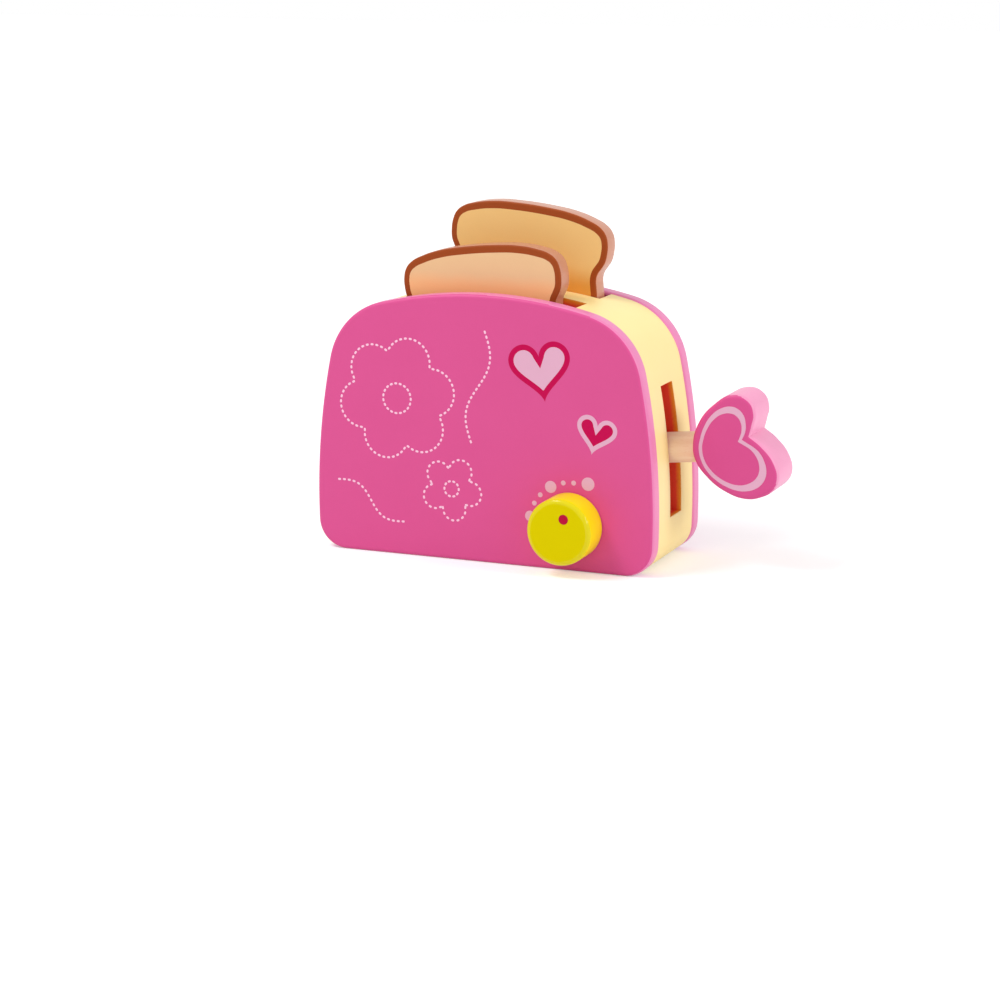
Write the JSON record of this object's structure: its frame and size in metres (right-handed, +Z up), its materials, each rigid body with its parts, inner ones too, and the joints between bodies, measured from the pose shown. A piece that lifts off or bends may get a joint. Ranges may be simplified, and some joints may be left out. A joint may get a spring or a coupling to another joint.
{
  "type": "toy toaster",
  "caption": "Wooden toy toaster: layered body with toast pockets, see-saw lever with heart handle, lift peg, turning knob and lift-out toast slices.",
  "frame": {"origin": "centre of the flat underside, midway between the two panels", "axes": "+X along the width towards the heart lever, +Y to the back, +Z up"},
  "size_m": [0.2482, 0.0923, 0.1844],
  "materials": {
    "pink_paint": "pink satin paint with paler pink edges, on fibreboard",
    "yellow_paint": "pale yellow satin paint on fibreboard",
    "heart_paint": "pink satin paint with a pale stripe, on fibreboard",
    "knob_paint": "yellow gloss paint on wood",
    "toast_paint": "printed bread face with a brown crust, on fibreboard",
    "beech": "bare sanded beech",
    "steel": "zinc plated"
  },
  "bodies": {
    "housing": {"front_panel": "pink_paint", "front_slot_layer": "yellow_paint", "centre_layer": "yellow_paint", "rear_slot_layer": "yellow_paint", "rear_panel": "pink_paint", "locating_dowel_1": "beech", "locating_dowel_2": "beech", "locating_dowel_3": "beech", "locating_dowel_4": "beech", "pivot_pin": "steel"},
    "lever": {"lever_dowel": "beech", "heart_handle": "heart_paint"},
    "lift": {"lift_block": "beech", "lift_peg": "beech"},
    "front_slice": {"toast_front": "toast_paint"},
    "rear_slice": {"toast_rear": "toast_paint"},
    "dial": {"knob": "knob_paint", "knob_spindle": "beech", "knob_washer": "steel", "knob_screw": "steel"}
  },
  "joints": [
    {"name": "lever_tilt", "type": "hinge", "parent": "housing", "child": "lever", "pos_m": [0.056, 0, 0.05807], "axis": [0, 1, 0], "range_deg": [-10.5, 27]},
    {"name": "lift_slide", "type": "slide", "parent": "housing", "child": "lift", "axis": [0, 0, 1], "range_m": [-0.0109, 0.0279]},
    {"name": "toast_front_lift", "type": "slide", "parent": "lift", "child": "front_slice", "axis": [0, 0, 1], "range_m": [0, 0.11]},
    {"name": "toast_rear_lift", "type": "slide", "parent": "lift", "child": "rear_slice", "axis": [0, 0, 1], "range_m": [0, 0.11]},
    {"name": "knob_turn", "type": "hinge", "parent": "housing", "child": "dial", "pos_m": [0.0497, -0.0373, 0.0242], "axis": [0, -1, 0], "continuous": true}
  ],
  "couplings": [
    {"joint": "lift_slide", "follows": "lever_tilt", "m_per_rad": 0.059}
  ]
}
